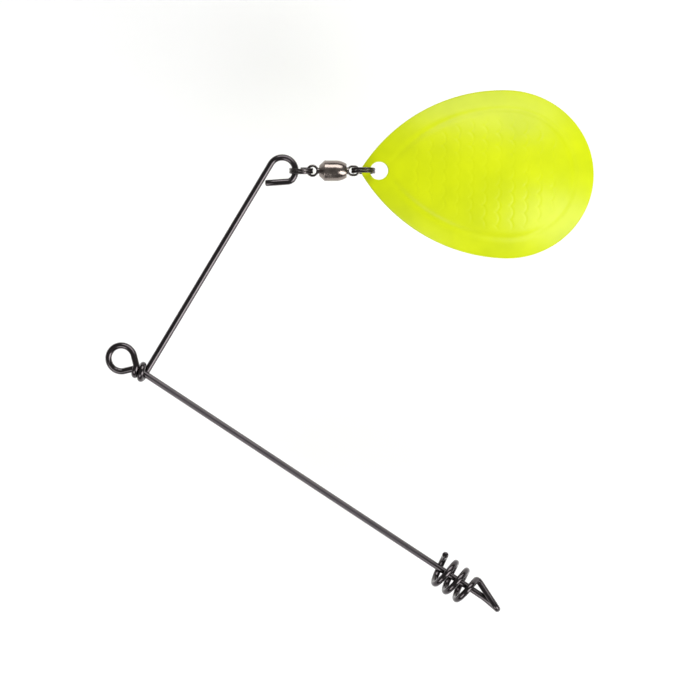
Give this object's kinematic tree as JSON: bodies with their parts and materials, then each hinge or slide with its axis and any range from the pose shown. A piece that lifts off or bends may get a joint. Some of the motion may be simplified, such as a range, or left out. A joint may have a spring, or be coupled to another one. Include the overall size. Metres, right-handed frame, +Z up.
{
  "type": "spinnerbait harness",
  "caption": "Bent wire harness for a spinnerbait, with a line tie loop, a screw-in bait holder and a cupped spinner blade on split rings and a ball bearing swivel.",
  "frame": {"origin": "centre of the line tie loop, on the lower arm's line and at its level", "axes": "+X along the lower arm to the bait screw, +Y to the side that the upper arm stands on, +Z up from the surface that the object lies on"},
  "size_m": [0.0855, 0.086, 0.0067],
  "materials": {
    "wire": "black nickel over drawn spring steel, glossy",
    "rings": "black nickel over flattened steel wire, glossy",
    "post": "black nickel, glossy",
    "barrel": "warm gunmetal plating over turned brass, glossy",
    "balls": "polished",
    "blade": "fluorescent chartreuse paint under clear lacquer"
  },
  "bodies": {
    "frame": {"wire_frame": "wire"},
    "arm_ring": {"arm_split_ring": "rings"},
    "swivel_post": {"swivel_post": "post"},
    "ball_set": {"bearing_ball_1": "balls", "bearing_ball_2": "balls", "bearing_ball_3": "balls", "bearing_ball_4": "balls", "bearing_ball_5": "balls", "bearing_ball_6": "balls", "bearing_ball_7": "balls"},
    "barrel": {"swivel_barrel": "barrel", "swivel_end_eye": "post"},
    "blade_ring": {"blade_split_ring": "rings"},
    "blade": {"blade": "blade"}
  },
  "joints": [
    {"name": "arm_ring_swing", "type": "hinge", "parent": "frame", "child": "arm_ring", "pos_m": [0.00764, 0.04596, -0.00118], "axis": [-0.5437, 0.8277, 0.1392], "range_deg": [-90, 90]},
    {"name": "swivel_yaw", "type": "hinge", "parent": "arm_ring", "child": "swivel_post", "pos_m": [0.01017, 0.04763, -0.00118], "axis": [0, 0, -1], "range_deg": [-75, 75]},
    {"name": "swivel_spin", "type": "hinge", "parent": "swivel_post", "child": "barrel", "pos_m": [0.01126, 0.04834, -0.00118], "axis": [0.8358, 0.549, 0], "continuous": true},
    {"name": "ball_orbit", "type": "hinge", "parent": "swivel_post", "child": "ball_set", "pos_m": [0.01126, 0.04834, -0.00118], "axis": [0.8358, 0.549, 0], "continuous": true},
    {"name": "blade_ring_swing", "type": "hinge", "parent": "barrel", "child": "blade_ring", "pos_m": [0.01631, 0.05166, -0.00118], "axis": [0, 0, 1], "range_deg": [-75, 75]},
    {"name": "blade_flap", "type": "hinge", "parent": "blade_ring", "child": "blade", "pos_m": [0.01833, 0.05298, -0.00147], "axis": [-0.549, 0.8358, 0], "range_deg": [-75, 75]}
  ],
  "couplings": [
    {"joint": "ball_orbit", "follows": "swivel_spin", "ratio": 0.5642}
  ]
}
